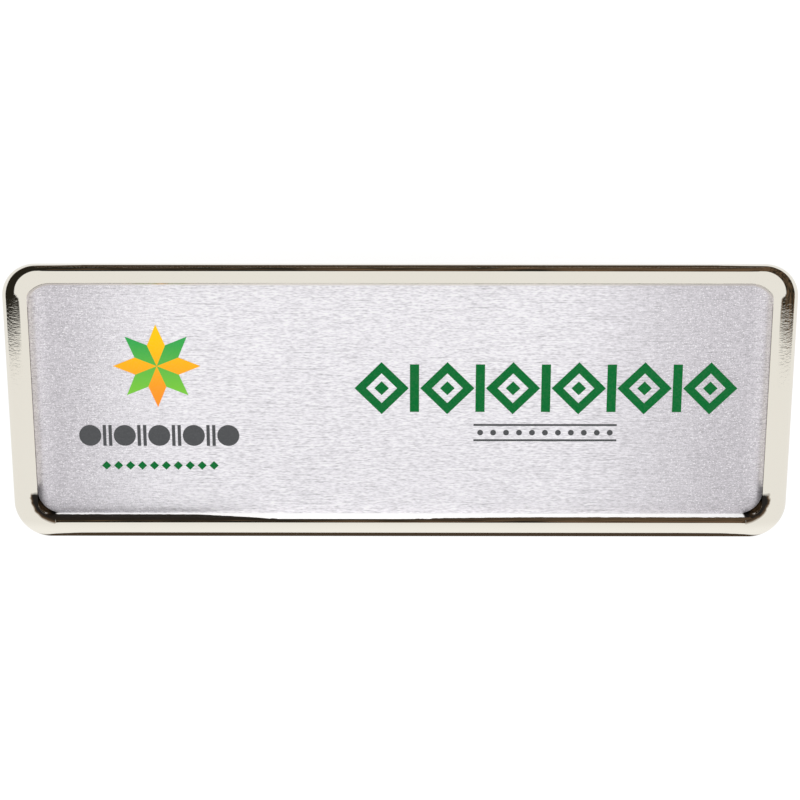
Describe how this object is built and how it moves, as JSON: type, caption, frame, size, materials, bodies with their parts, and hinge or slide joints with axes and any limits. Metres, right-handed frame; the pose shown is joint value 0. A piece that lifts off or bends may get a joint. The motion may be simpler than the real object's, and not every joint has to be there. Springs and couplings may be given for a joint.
{
  "type": "name badge",
  "caption": "Framed rectangular name badge: a brushed plate in a polished tray with a raised rounded rim, with a bar pin across the back.",
  "frame": {"origin": "on the surface that the badge lies on, under the middle of the badge", "axes": "+X along the badge, left to right for its reader; +Y to its top edge; +Z out of its face"},
  "size_m": [0.0812, 0.0296, 0.0075],
  "materials": {
    "bezel_metal": "pale gold plate, polished to a mirror",
    "insert_metal": "silver, brushed lengthways, printed",
    "pin_metal": "nickel plated, satin"
  },
  "bodies": {
    "root": {"bezel": "bezel_metal", "insert_plate": "insert_metal", "bar_pin": "pin_metal"}
  },
  "joints": []
}
